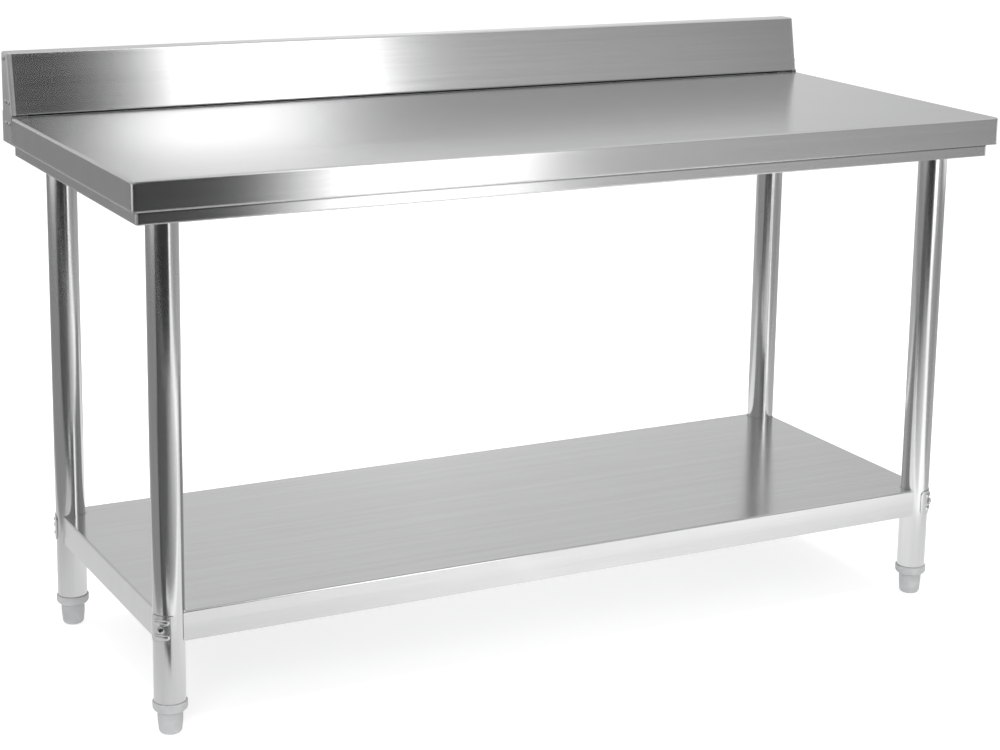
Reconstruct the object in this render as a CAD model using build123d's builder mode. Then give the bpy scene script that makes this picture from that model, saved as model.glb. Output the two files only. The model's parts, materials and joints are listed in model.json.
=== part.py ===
from build123d import *
from math import asin, atan2, cos, degrees, radians, sin, sqrt
import os

# Stainless work table with a backsplash, an undershelf and four round legs.
# The length runs along X, the front faces -Y, the backsplash stands at +Y, and Z is up.
# The origin is on the floor, under the middle of the table. All sizes are millimetres.

os.makedirs("parts", exist_ok=True)

# ---- Driving sizes ----------------------------------------------------------------------------
LENGTH = 1500.0  # worktop, end to end
DEPTH = 650.0  # front face to the rivet heads at the back
TOP = 850.0  # working height
SHEET = 1.2  # stainless sheet of the worktop, backsplash and shelf

APRON = 45.0  # height of the worktop's folded edge
EDGE_BEND = 4.0  # outside bend radius along the worktop's edges
EDGE_CORNER = 6.0  # rounded upright corners of the worktop's edge
HEM = 2.0  # gap between the edge's hem and the rim below it

RIM_DROP = 66.0  # worktop surface to the bottom of the rim
RIM_FRONT_INSET = 14.0  # rim stands back from the front face
RIM_END_INSET = 10.0  # and from each end
RIM_REAR_INSET = 25.8  # and from the back
RIM_CORNER = 7.0
RIM_SHEET = 1.5
RIM_FLANGE = 25.0

SPLASH_RISE = 100.0
SPLASH_BASE = 52.0  # depth of the backsplash where it meets the worktop
SPLASH_LEDGE = 33.0  # depth of its flat top
SPLASH_GAP = 2.0  # open joint behind and under the backsplash
SPLASH_BEND = 2.4  # bend radius at the middle of the sheet
CAP_LIP = 8.0  # lips of the end caps
CAP_BEND = 4.0

LEG_X = 680.0  # leg centres from the middle
LEG_Y = 243.0
LEG_RADIUS = 24.0
LEG_WALL = 1.2
LEG_BOTTOM = 52.0

SOCKET_BORE = 24.15
SOCKET_RADIUS = 28.0
SOCKET_LENGTH = 54.0
SOCKET_PLATE = 3.0
SOCKET_REACH = 52.0  # plate beyond the leg centre, towards the middle of the table
SET_SCREW = 4.0  # radius

SHELF_TOP = 192.0
SHELF_DROP = 46.0
SHELF_OUT = 18.0  # flange planes beyond the leg centres
SHELF_BEND = 2.5
SHELF_HEM = 12.0
SCALLOP = 26.6  # cut-out of the shelf's flat round the leg
FLANGE_GAP = 24.4  # flange ends stop at this radius from the leg centre

SADDLE_IN = 24.15
SADDLE_OUT = 26.15
WING_LENGTH = 21.0  # tabs of the saddle along the shelf's flanges
CLAMP_SHEET = 1.5
CLAMP_HEIGHT = 42.0
CLAMP_HALF_ANGLE = 54.0
CLAMP_CORNER = 8.0
CLAMP_LEVEL = 169.0  # height of the clamp's middle and of its bolt
RIB_LENGTH = 18.0
RIB_HEIGHT = 5.0
RIB_PROUD = 1.0
RIB_OFFSET = 11.5
BOLT = 3.0  # M6, radius
BOLT_HOLE = 3.2

COLLAR_RADIUS = 26.2
COLLAR_BOTTOM = 35.5
PLUG_TOP = 82.0
STEM = 5.0  # M10, radius
STEM_BORE = 5.05
STEM_TOP = 80.0
STEM_BASE = 12.0
FOOT_TOP = 35.2
FOOT_RADIUS = 19.0
FOOT_FLATS = 17.8  # apothem of the spanner flats
FLATS_TOP = 20.0

HAT_WIDTH = 70.0  # stiffener over its brims
HAT_CROWN = 40.0
HAT_DEPTH = 25.0
HAT_Y = 95.0  # worktop stiffeners from the middle

SCREW = 2.5  # M5 end screws, radius
SCREW_HEAD = 3.6
SCREW_HEAD_HEIGHT = 1.8
BRACKET = 2.0
RIVET = 2.0
RIVET_HEAD = 1.2
FIT = 0.05  # radial play of a fastener in its hole

# ---- Derived places ---------------------------------------------------------------------------
END = LENGTH / 2
FRONT = -DEPTH / 2
REAR = DEPTH / 2 - RIVET_HEAD
UNDERSIDE = TOP - SHEET
APRON_BOTTOM = TOP - APRON
SPLASH_TOP = TOP + SPLASH_RISE
SEAM = REAR - SPLASH_BASE  # foot of the backsplash's face
LEDGE = REAR - SPLASH_LEDGE
PAN_END = SEAM - SPLASH_GAP  # where the worktop's side edges stop
TONGUE_REAR = REAR - SHEET  # back of the strip that runs on under the backsplash
TONGUE_END = END - SHEET
RIM_X = END - RIM_END_INSET
RIM_FRONT = FRONT + RIM_FRONT_INSET
RIM_REAR = REAR - RIM_REAR_INSET
RIM_BOTTOM = TOP - RIM_DROP
RIM_HEIGHT = UNDERSIDE - RIM_BOTTOM
SPLASH_FOOT = TOP + SPLASH_GAP
SLOPE = (LEDGE - SEAM) / (SPLASH_TOP - SPLASH_FOOT)
SOCKET_PLATE_TOP = UNDERSIDE - RIM_SHEET
LEG_TOP = SOCKET_PLATE_TOP - SOCKET_PLATE
SHELF_X = LEG_X + SHELF_OUT
SHELF_Y = LEG_Y + SHELF_OUT
SHELF_BOTTOM = SHELF_TOP - SHELF_DROP
SHELF_UNDERSIDE = SHELF_TOP - SHEET
PAIR_Y = (SEAM + 11.5, SEAM + 29.5)  # end screws, side by side
PAIR_HIGH = TOP + 21.0
PAIR_LOW = TOP - 13.0
SINGLE_Y = LEDGE + 17.0
SINGLE_HIGH = SPLASH_TOP - 10.0
RIVET_LEVEL = APRON_BOTTOM + 22.0
RIVET_PITCH = 300.0

CORNERS = {
    "front_left": (-1, -1),
    "front_right": (1, -1),
    "rear_left": (-1, 1),
    "rear_right": (1, 1),
}
ENDS = {"left": -1, "right": 1}


def write(piece, name):
    """Label a finished piece and write it as its own STEP file."""
    piece.label = name
    export_step(piece, f"parts/{name}.step")


def corner_place(sx, sy):
    """Leg centre on the floor, turned so that local +X points out through the table's corner."""
    return Location((sx * LEG_X, sy * LEG_Y, 0), (0, 0, degrees(atan2(sy, sx))))


def dome_middle(rim, radius, top):
    """Middle point of an arc from (rim, radius) to (top, 0) that meets the axis squarely."""
    rise = top - rim
    ball = (rise**2 + radius**2) / (2 * rise)
    half_turn = asin(radius / ball) / 2
    return (top - ball + ball * cos(half_turn), ball * sin(half_turn))


def group(piece, places):
    """One node that holds a copy of the piece at each place."""
    with BuildPart() as copies:
        for place in places:
            add(piece.moved(place))
    return copies.part


corner_places = [corner_place(sx, sy) for sx, sy in CORNERS.values()]

# ---- Worktop ----------------------------------------------------------------------------------


def worktop_block(inset, bend):
    """Solid of the worktop's outside, or of its hollow when inset by the sheet."""
    with BuildPart() as block:
        with BuildSketch(Plane.XY.offset(APRON_BOTTOM + inset)) as outline:
            with Locations((0, (FRONT + PAN_END) / 2)):
                Rectangle(LENGTH - 2 * inset, PAN_END - FRONT - 2 * inset)
            fillet(outline.vertices().group_by(Axis.Y)[0], EDGE_CORNER - inset)
        extrude(amount=APRON - 2 * inset)
        upper = block.faces().sort_by(Axis.Z)[-1].edges()
        fillet(upper.sort_by(Axis.Y)[:-1], bend)
        with BuildSketch(Plane.XY.offset(APRON_BOTTOM + inset)):
            with Locations((0, (PAN_END + TONGUE_REAR) / 2 - inset)):
                Rectangle(2 * TONGUE_END - 2 * inset, TONGUE_REAR - PAN_END)
        extrude(amount=APRON - 2 * inset)
    return block.part


with BuildPart() as worktop_pan:
    add(worktop_block(0, EDGE_BEND))
    add(worktop_block(SHEET, EDGE_BEND - SHEET), mode=Mode.SUBTRACT)
    # opening between the hems, which keeps a small gap round the rim
    with BuildSketch(Plane.XY.offset(APRON_BOTTOM)):
        with Locations((0, (RIM_FRONT + TONGUE_REAR - RIM_FRONT_INSET) / 2)):
            Rectangle(2 * (RIM_X + HEM), TONGUE_REAR - RIM_FRONT_INSET - RIM_FRONT + 2 * HEM)
    extrude(amount=SHEET, mode=Mode.SUBTRACT)
    # relief between each side edge and the backsplash's end cap
    with BuildSketch(Plane.XY.offset(APRON_BOTTOM + APRON / 5)):
        with Locations((-END, SEAM - SPLASH_GAP / 2), (END, SEAM - SPLASH_GAP / 2)):
            Rectangle(2 * EDGE_BEND, SPLASH_GAP)
    extrude(amount=APRON, mode=Mode.SUBTRACT)
    # shallow groove along the foot of the backsplash
    with BuildSketch(Plane.XY.offset(TOP)):
        with Locations((0, SEAM - SPLASH_GAP / 2)):
            Rectangle(LENGTH, SPLASH_GAP)
    extrude(amount=-SHEET / 2, mode=Mode.SUBTRACT)
    with BuildSketch(Plane.YZ):
        with Locations(*[(y, PAIR_LOW) for y in PAIR_Y]):
            Circle(SCREW + FIT)
    extrude(amount=END, both=True, mode=Mode.SUBTRACT)
    with BuildSketch(Plane.XZ.offset(-TONGUE_REAR)):
        with GridLocations(RIVET_PITCH, 0, 5, 1):
            with Locations((0, RIVET_LEVEL)):
                Circle(RIVET + FIT)
    extrude(amount=2 * SHEET, mode=Mode.SUBTRACT)
write(worktop_pan.part, "worktop_pan")


def hat_stiffener(length, y, brim_top):
    """Hat-section stiffener along X, its brims touching the sheet above it."""
    with BuildPart() as hat:
        with BuildSketch(Plane.YZ.offset(-length / 2)):
            with Locations((y, brim_top - SHEET / 2)):
                Rectangle(HAT_WIDTH, SHEET)
            with Locations((y, brim_top - HAT_DEPTH / 2)):
                Rectangle(HAT_CROWN, HAT_DEPTH)
            with Locations((y, brim_top - HAT_DEPTH / 2 + SHEET / 2)):
                Rectangle(HAT_CROWN - 2 * SHEET, HAT_DEPTH - SHEET, mode=Mode.SUBTRACT)
        extrude(amount=length)
    return hat.part


hat_length = 2 * (RIM_X - RIM_FLANGE - HEM)
write(hat_stiffener(hat_length, -HAT_Y, UNDERSIDE), "worktop_stiffener_front")
write(hat_stiffener(hat_length, HAT_Y, UNDERSIDE), "worktop_stiffener_rear")

# ---- Rim under the worktop: four mitred channels -----------------------------------------------
rim_length = 2 * RIM_X
rim_depth = RIM_REAR - RIM_FRONT
rim_middle = (RIM_REAR + RIM_FRONT) / 2

with BuildPart() as rim_ring:
    with BuildSketch(Plane.XY.offset(RIM_BOTTOM)):
        with Locations((0, rim_middle)):
            RectangleRounded(rim_length, rim_depth, RIM_CORNER)
    extrude(amount=RIM_HEIGHT)
    fillet(rim_ring.faces().sort_by(Axis.Z)[0].edges(), RIM_SHEET)
    with BuildSketch(Plane.XY.offset(RIM_BOTTOM + RIM_SHEET)):
        with Locations((0, rim_middle)):
            RectangleRounded(rim_length - 2 * RIM_SHEET, rim_depth - 2 * RIM_SHEET, RIM_CORNER - RIM_SHEET)
    extrude(amount=RIM_HEIGHT - 2 * RIM_SHEET, mode=Mode.SUBTRACT)
    with BuildSketch(Plane.XY.offset(RIM_BOTTOM)):
        with Locations((0, rim_middle)):
            Rectangle(rim_length - 2 * RIM_FLANGE, rim_depth - 2 * RIM_FLANGE)
    extrude(amount=RIM_HEIGHT, mode=Mode.SUBTRACT)


def rim_channel(name, first, second):
    """One side of the rim, between the mitres at two of its corners."""
    (x1, y1), (x2, y2) = first, second
    reach = 2 * RIM_FLANGE
    inner_1 = (x1 - reach * (1 if x1 > 0 else -1), y1 - reach * (1 if y1 > 0 else -1))
    inner_2 = (x2 - reach * (1 if x2 > 0 else -1), y2 - reach * (1 if y2 > 0 else -1))
    with BuildPart() as channel:
        add(rim_ring.part)
        with BuildSketch(Plane.XY.offset(RIM_BOTTOM)):
            with BuildLine():
                Polyline((x1, y1), (x2, y2), inner_2, inner_1, close=True)
            make_face()
        extrude(amount=RIM_HEIGHT, mode=Mode.INTERSECT)
    write(channel.part, name)


rim_channel("rim_front", (-RIM_X, RIM_FRONT), (RIM_X, RIM_FRONT))
rim_channel("rim_rear", (-RIM_X, RIM_REAR), (RIM_X, RIM_REAR))
rim_channel("rim_left", (-RIM_X, RIM_FRONT), (-RIM_X, RIM_REAR))
rim_channel("rim_right", (RIM_X, RIM_FRONT), (RIM_X, RIM_REAR))

# ---- Leg sockets under the worktop -------------------------------------------------------------
screw_level = LEG_TOP - SOCKET_LENGTH / 2
boss_reach = SOCKET_RADIUS + 6.0
boss_radius = SET_SCREW + 4.0

for corner, (sx, sy) in CORNERS.items():
    out_x = RIM_X - RIM_SHEET - HEM - LEG_X
    out_y = (-RIM_FRONT if sy < 0 else RIM_REAR) - RIM_SHEET - HEM - LEG_Y
    with BuildPart() as socket:
        with BuildSketch(Plane.XY.offset(LEG_TOP)):
            with Locations((sx * (LEG_X + (out_x - SOCKET_REACH) / 2), sy * (LEG_Y + (out_y - SOCKET_REACH) / 2))):
                Rectangle(out_x + SOCKET_REACH, out_y + SOCKET_REACH)
        extrude(amount=SOCKET_PLATE)
        with BuildSketch(Plane.XY.offset(LEG_TOP - SOCKET_LENGTH)):
            with Locations((sx * LEG_X, sy * LEG_Y)):
                Circle(SOCKET_RADIUS)
        extrude(amount=SOCKET_LENGTH)
        inward = Plane(origin=(sx * LEG_X, sy * LEG_Y, screw_level), z_dir=(-sx, 0, 0))
        with BuildSketch(inward):
            Circle(boss_radius)
        extrude(amount=boss_reach)
        with BuildSketch(Plane.XY.offset(LEG_TOP - SOCKET_LENGTH)):
            with Locations((sx * LEG_X, sy * LEG_Y)):
                Circle(SOCKET_BORE)
        extrude(amount=SOCKET_LENGTH, mode=Mode.SUBTRACT)
        with BuildSketch(inward):
            Circle(SET_SCREW + FIT)
        extrude(amount=boss_reach, mode=Mode.SUBTRACT)
    write(socket.part, f"leg_socket_{corner}")

with BuildPart() as set_screw:
    with BuildSketch(Plane.YZ.offset(-boss_reach)):
        Circle(SET_SCREW)
    extrude(amount=boss_reach - LEG_RADIUS - FIT)
    with BuildSketch(Plane.YZ.offset(-boss_reach)):
        RegularPolygon(SET_SCREW / 2, 6)
    extrude(amount=SET_SCREW, mode=Mode.SUBTRACT)

set_screw_places = [
    Location((sx * LEG_X, sy * LEG_Y, screw_level), (0, 0, 0 if sx > 0 else 180)) for sx, sy in CORNERS.values()
]
write(group(set_screw.part, set_screw_places), "leg_set_screws")

# ---- Backsplash ---------------------------------------------------------------------------------
half = SHEET / 2
cap_inner = END - CAP_LIP

with BuildPart() as splash_panel:
    with BuildSketch(Plane.YZ.offset(-cap_inner)):
        with BuildLine() as fold:
            FilletPolyline(
                (SEAM + 12.0, SPLASH_FOOT + half),
                (SEAM + half, SPLASH_FOOT + half),
                (LEDGE + half, SPLASH_TOP - half),
                (REAR - half, SPLASH_TOP - half),
                (REAR - half, APRON_BOTTOM),
                radius=SPLASH_BEND,
            )
        trace(line_width=SHEET)
    extrude(amount=2 * cap_inner)
    with BuildSketch(Plane.XZ.offset(-REAR)):
        with GridLocations(RIVET_PITCH, 0, 5, 1):
            with Locations((0, RIVET_LEVEL)):
                Circle(RIVET + FIT)
    extrude(amount=2 * SHEET, mode=Mode.SUBTRACT)
write(splash_panel.part, "splash_panel")


def splash_cap(side):
    """End cap: a plate with lips that close the backsplash, and a tongue beside the worktop."""
    outside = Plane.YZ.offset(side * END)
    inwards = -side
    with BuildPart() as cap:
        with BuildSketch(outside):
            with BuildLine():
                Polyline(
                    (SEAM, SPLASH_FOOT), (LEDGE, SPLASH_TOP), (REAR, SPLASH_TOP), (REAR, SPLASH_FOOT), close=True
                )
            make_face()
        extrude(amount=inwards * CAP_LIP)
        outer_edges = cap.faces().sort_by(Axis.X)[-1 if side > 0 else 0].edges()
        fillet(outer_edges.sort_by(Axis.Z)[1:], CAP_BEND)
        long_edges = cap.edges().filter_by(Axis.X).sort_by(Axis.Z)[-2:]
        fillet(long_edges, SPLASH_BEND + half)
        with BuildSketch(Plane.YZ.offset(side * (END - SHEET))):
            with BuildLine():
                Polyline(
                    (SEAM + SHEET - SLOPE * 10, SPLASH_FOOT - 10),
                    (LEDGE + SHEET, SPLASH_TOP - SHEET),
                    (REAR - SHEET, SPLASH_TOP - SHEET),
                    (REAR - SHEET, SPLASH_FOOT - 10),
                    close=True,
                )
            make_face()
        extrude(amount=inwards * CAP_LIP, mode=Mode.SUBTRACT)
        with BuildSketch(outside):
            with Locations(((SEAM + REAR) / 2, (SPLASH_FOOT + APRON_BOTTOM) / 2 + SHEET)):
                Rectangle(SPLASH_BASE, SPLASH_FOOT - APRON_BOTTOM + 2 * SHEET)
        extrude(amount=inwards * SHEET)
        with BuildSketch(outside):
            with Locations(*cap_screw_points):
                Circle(SCREW + FIT)
        extrude(amount=inwards * SHEET, mode=Mode.SUBTRACT)
    return cap.part


bracket_points = [(y, PAIR_HIGH) for y in PAIR_Y] + [(SINGLE_Y, SINGLE_HIGH)]
cap_screw_points = bracket_points + [(y, PAIR_LOW) for y in PAIR_Y]


def splash_bracket(side):
    """Angle inside each end of the backsplash: its foot stands on the worktop."""
    face = Plane.YZ.offset(side * (END - SHEET))
    inwards = -side
    with BuildPart() as bracket:
        with BuildSketch(face):
            with BuildLine():
                Polyline(
                    (SEAM + 7, TOP),
                    (SEAM + 7, TOP + 10),
                    (LEDGE + 6, SPLASH_TOP - 4),
                    (REAR - 4, SPLASH_TOP - 4),
                    (REAR - 4, TOP),
                    close=True,
                )
            make_face()
        extrude(amount=inwards * BRACKET)
        with BuildSketch(face):
            with Locations(((SEAM + 16 + REAR - 4) / 2, TOP + BRACKET / 2)):
                Rectangle(REAR - 4 - SEAM - 16, BRACKET)
        extrude(amount=inwards * 30)
        with BuildSketch(face):
            with Locations(*bracket_points):
                Circle(SCREW + FIT)
        extrude(amount=inwards * BRACKET, mode=Mode.SUBTRACT)
    return bracket.part


screw_rim = SCREW_HEAD_HEIGHT * 0.4

with BuildPart() as end_screw:
    # Lies along local X: the head outside, the shank running inwards.
    with BuildSketch(Plane.XZ):
        with BuildLine():
            Line((-5.5, 0), (-5.5, SCREW))
            Line((-5.5, SCREW), (0, SCREW))
            Line((0, SCREW), (0, SCREW_HEAD))
            Line((0, SCREW_HEAD), (screw_rim, SCREW_HEAD))
            ThreePointArc(
                (screw_rim, SCREW_HEAD), dome_middle(screw_rim, SCREW_HEAD, SCREW_HEAD_HEIGHT), (SCREW_HEAD_HEIGHT, 0)
            )
            Line((SCREW_HEAD_HEIGHT, 0), (-5.5, 0))
        make_face()
    revolve(axis=Axis.X)
    with BuildSketch(Plane.YZ.offset(SCREW_HEAD_HEIGHT)):
        Rectangle(3.6, 0.8)
        Rectangle(0.8, 3.6)
    extrude(amount=-1.1, mode=Mode.SUBTRACT)

for side_name, side in ENDS.items():
    write(splash_cap(side), f"splash_cap_{side_name}")
    write(splash_bracket(side), f"splash_bracket_{side_name}")
    screw_places = [Location((side * END, y, z), (0, 0, 0 if side > 0 else 180)) for y, z in cap_screw_points]
    write(group(end_screw.part, screw_places), f"splash_screws_{side_name}")

with BuildPart() as rivet:
    # Lies along local Y: the dome outside, the formed end inside the worktop's rear edge.
    with BuildSketch(Plane.YZ):
        with BuildLine():
            Line((RIVET_HEAD, 0), (-2 * SHEET - 3, 0))
            Line((-2 * SHEET - 3, 0), (-2 * SHEET - 3, RIVET * 0.8))
            Line((-2 * SHEET - 3, RIVET * 0.8), (-2 * SHEET - 2, RIVET * 1.45))
            Line((-2 * SHEET - 2, RIVET * 1.45), (-2 * SHEET, RIVET * 1.45))
            Line((-2 * SHEET, RIVET * 1.45), (-2 * SHEET, RIVET))
            Line((-2 * SHEET, RIVET), (0, RIVET))
            Line((0, RIVET), (0, 2 * RIVET))
            ThreePointArc((0, 2 * RIVET), dome_middle(0, 2 * RIVET, RIVET_HEAD), (RIVET_HEAD, 0))
        make_face()
    revolve(axis=Axis.Y)

rivet_places = [Location((n * RIVET_PITCH, REAR, RIVET_LEVEL)) for n in range(-2, 3)]
write(group(rivet.part, rivet_places), "splash_rivets")

# ---- Legs -----------------------------------------------------------------------------------------
diagonal = Plane(origin=(0, 0, CLAMP_LEVEL), x_dir=(0, 1, 0), z_dir=(1, 0, 0))

with BuildPart() as leg:
    with BuildSketch(Plane.XY.offset(LEG_BOTTOM)):
        Circle(LEG_RADIUS)
        Circle(LEG_RADIUS - LEG_WALL, mode=Mode.SUBTRACT)
    extrude(amount=LEG_TOP - LEG_BOTTOM)
    with BuildSketch(diagonal):
        Circle(BOLT_HOLE)
    extrude(amount=2 * LEG_RADIUS, both=True, mode=Mode.SUBTRACT)

# ---- Shelf ----------------------------------------------------------------------------------------
with BuildPart() as shelf_pan:
    with BuildSketch(Plane.XY.offset(SHELF_BOTTOM)):
        Rectangle(2 * SHELF_X, 2 * SHELF_Y)
    extrude(amount=SHELF_DROP)
    fillet(shelf_pan.faces().sort_by(Axis.Z)[-1].edges(), SHELF_BEND)
    with BuildPart(mode=Mode.PRIVATE) as shelf_hollow:
        with BuildSketch(Plane.XY.offset(SHELF_BOTTOM + SHEET)):
            Rectangle(2 * (SHELF_X - SHEET), 2 * (SHELF_Y - SHEET))
        extrude(amount=SHELF_DROP - 2 * SHEET)
        fillet(shelf_hollow.faces().sort_by(Axis.Z)[-1].edges(), SHELF_BEND - SHEET)
    add(shelf_hollow.part, mode=Mode.SUBTRACT)
    with BuildSketch(Plane.XY.offset(SHELF_BOTTOM)):
        Rectangle(2 * (SHELF_X - SHELF_HEM), 2 * (SHELF_Y - SHELF_HEM))
    extrude(amount=SHEET, mode=Mode.SUBTRACT)
    # the corners are cut away outside the legs, and the flange ends stop on the tubes
    with BuildSketch(Plane.XY.offset(SHELF_BOTTOM)):
        with Locations(*[(sx * LEG_X, sy * LEG_Y) for sx, sy in CORNERS.values()]):
            Circle(FLANGE_GAP)
        with Locations(*[(sx * (LEG_X + 15), sy * (LEG_Y + 15)) for sx, sy in CORNERS.values()]):
            Rectangle(24, 24)
    extrude(amount=SHELF_DROP, mode=Mode.SUBTRACT)
    with BuildSketch(Plane.XY.offset(SHELF_TOP - SHELF_BEND)):
        with Locations(*[(sx * LEG_X, sy * LEG_Y) for sx, sy in CORNERS.values()]):
            Circle(SCALLOP)
    extrude(amount=SHELF_BEND, mode=Mode.SUBTRACT)
    # the hems stop short of the saddles
    with BuildSketch(Plane.XY.offset(SHELF_BOTTOM)):
        with Locations(*[(sx * LEG_X, sy * LEG_Y) for sx, sy in CORNERS.values()]):
            Circle(SCALLOP)
    extrude(amount=SHEET, mode=Mode.SUBTRACT)
write(shelf_pan.part, "shelf_pan")

shelf_hat_length = 2 * (LEG_X - 2 * LEG_RADIUS)
write(hat_stiffener(shelf_hat_length, 0, SHELF_UNDERSIDE), "shelf_stiffener")

# ---- Shelf fixings, built about a leg with local +X out through the corner ---------------------------
inner_flange = SHELF_OUT - SHEET
wing = sqrt(2) * inner_flange  # where the flanges' inner faces would meet, along the diagonal
wing_start = inner_flange + sqrt(SADDLE_IN**2 - inner_flange**2) + 1.0

with BuildPart() as saddle:
    with BuildSketch(Plane.XY.offset(SHELF_BOTTOM + 4)) as saddle_plan:
        Circle(SADDLE_OUT)
        with Locations((wing, 0)):
            Rectangle(4 * wing, 4 * wing, rotation=-45, align=(Align.MAX, Align.MAX), mode=Mode.INTERSECT)
    extrude(amount=SHELF_TOP + 1 - SHELF_BOTTOM - 4)
    # wings against the inner faces of the two flanges
    for turn, lie in ((-45, Align.MAX), (45, Align.MIN)):
        with BuildSketch(Plane.XY.offset(SHELF_BOTTOM + 4)):
            with Locations(Location((wing, 0, 0), (0, 0, turn))):
                with Locations((-wing_start, 0)):
                    Rectangle(WING_LENGTH, CLAMP_SHEET, align=(Align.MAX, lie))
        extrude(amount=SHELF_TOP - SHELF_BEND - SHELF_BOTTOM - 4)
    with BuildSketch(Plane.XY.offset(SHELF_BOTTOM)):
        Circle(SADDLE_IN)
    extrude(amount=2 * SHELF_DROP, mode=Mode.SUBTRACT)
    with BuildSketch(diagonal):
        Circle(BOLT_HOLE)
    extrude(amount=-2 * LEG_RADIUS, mode=Mode.SUBTRACT)

clamp_outer = SADDLE_IN + CLAMP_SHEET
clamp_width = 2 * clamp_outer * sin(radians(CLAMP_HALF_ANGLE))

with BuildPart() as clamp_plate:
    with BuildSketch(Plane.XY.offset(CLAMP_LEVEL - CLAMP_HEIGHT / 2)):
        Circle(clamp_outer)
    extrude(amount=CLAMP_HEIGHT)
    with BuildSketch(diagonal):
        RectangleRounded(clamp_width, CLAMP_HEIGHT, CLAMP_CORNER)
    extrude(amount=2 * LEG_RADIUS, mode=Mode.INTERSECT)
    with BuildPart(mode=Mode.PRIVATE) as ribs:
        with BuildSketch(Plane.XY.offset(CLAMP_LEVEL - CLAMP_HEIGHT / 2)):
            Circle(clamp_outer + RIB_PROUD)
        extrude(amount=CLAMP_HEIGHT)
        with BuildSketch(diagonal):
            with Locations((0, RIB_OFFSET), (0, -RIB_OFFSET)):
                SlotOverall(RIB_LENGTH, RIB_HEIGHT)
        extrude(amount=2 * LEG_RADIUS, mode=Mode.INTERSECT)
    add(ribs.part)
    with BuildSketch(Plane.XY.offset(CLAMP_LEVEL - CLAMP_HEIGHT)):
        Circle(SADDLE_IN)
    extrude(amount=2 * CLAMP_HEIGHT, mode=Mode.SUBTRACT)
    with BuildSketch(diagonal):
        Circle(BOLT_HOLE)
    extrude(amount=2 * LEG_RADIUS, mode=Mode.SUBTRACT)

head_radius = 5.2
head_rim = clamp_outer + 1.4
head_top = clamp_outer + 3.2
bolt_end = -SADDLE_OUT - 7.0
nut_height = 5.0

with BuildPart() as clamp_bolt:
    with BuildSketch(Plane.XZ):
        with BuildLine():
            Line((bolt_end, 0), (bolt_end, BOLT - 0.6))
            Line((bolt_end, BOLT - 0.6), (bolt_end + 0.6, BOLT))
            Line((bolt_end + 0.6, BOLT), (clamp_outer, BOLT))
            Line((clamp_outer, BOLT), (clamp_outer, head_radius))
            Line((clamp_outer, head_radius), (head_rim, head_radius))
            ThreePointArc((head_rim, head_radius), dome_middle(head_rim, head_radius, head_top), (head_top, 0))
            Line((head_top, 0), (bolt_end, 0))
        make_face()
    revolve(axis=Axis.X)
    with BuildSketch(Plane.YZ.offset(head_top)):
        Rectangle(5.6, 1.2)
        Rectangle(1.2, 5.6)
    extrude(amount=-2.0, mode=Mode.SUBTRACT)

with BuildPart() as clamp_nut:
    with BuildSketch(Plane.YZ.offset(-SADDLE_OUT)):
        RegularPolygon(5.0, 6, major_radius=False)
        Circle(BOLT + FIT, mode=Mode.SUBTRACT)
    extrude(amount=-nut_height)

lift = Location((0, 0, CLAMP_LEVEL))
write(group(clamp_bolt.part, [place * lift for place in corner_places]), "clamp_bolts")
write(group(clamp_nut.part, [place * lift for place in corner_places]), "clamp_nuts")

# ---- Levelling feet ---------------------------------------------------------------------------------
plug_radius = LEG_RADIUS - LEG_WALL - 0.1
# The tube stands on a short neck, so a thin shadow gap shows above the collar.
neck_radius = LEG_RADIUS - 0.6
collar_top = LEG_BOTTOM - 1.4

with BuildPart() as foot_plug:
    with BuildSketch(Plane.XZ):
        with BuildLine():
            Line((STEM_BORE, COLLAR_BOTTOM), (20.0, COLLAR_BOTTOM))
            ThreePointArc((20.0, COLLAR_BOTTOM), (24.6, COLLAR_BOTTOM + 2.4), (COLLAR_RADIUS, COLLAR_BOTTOM + 7.0))
            Line((COLLAR_RADIUS, COLLAR_BOTTOM + 7.0), (COLLAR_RADIUS, collar_top - 0.8))
            Line((COLLAR_RADIUS, collar_top - 0.8), (COLLAR_RADIUS - 0.8, collar_top))
            Line((COLLAR_RADIUS - 0.8, collar_top), (neck_radius, collar_top))
            Line((neck_radius, collar_top), (neck_radius, LEG_BOTTOM))
            Line((neck_radius, LEG_BOTTOM), (plug_radius, LEG_BOTTOM))
            Line((plug_radius, LEG_BOTTOM), (plug_radius, PLUG_TOP - 1.5))
            Line((plug_radius, PLUG_TOP - 1.5), (plug_radius - 1.0, PLUG_TOP))
            Line((plug_radius - 1.0, PLUG_TOP), (19.5, PLUG_TOP))
            Line((19.5, PLUG_TOP), (19.5, LEG_BOTTOM))
            Line((19.5, LEG_BOTTOM), (9.0, LEG_BOTTOM))
            Line((9.0, LEG_BOTTOM), (9.0, PLUG_TOP))
            Line((9.0, PLUG_TOP), (STEM_BORE, PLUG_TOP))
            Line((STEM_BORE, PLUG_TOP), (STEM_BORE, COLLAR_BOTTOM))
        make_face()
    revolve(axis=Axis.Z)

with BuildPart() as foot_stem:
    with BuildSketch(Plane.XY.offset(STEM_BASE)):
        Circle(STEM)
    extrude(amount=STEM_TOP - STEM_BASE)
    chamfer(foot_stem.edges().sort_by(Axis.Z)[-1:], 0.8)

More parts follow.
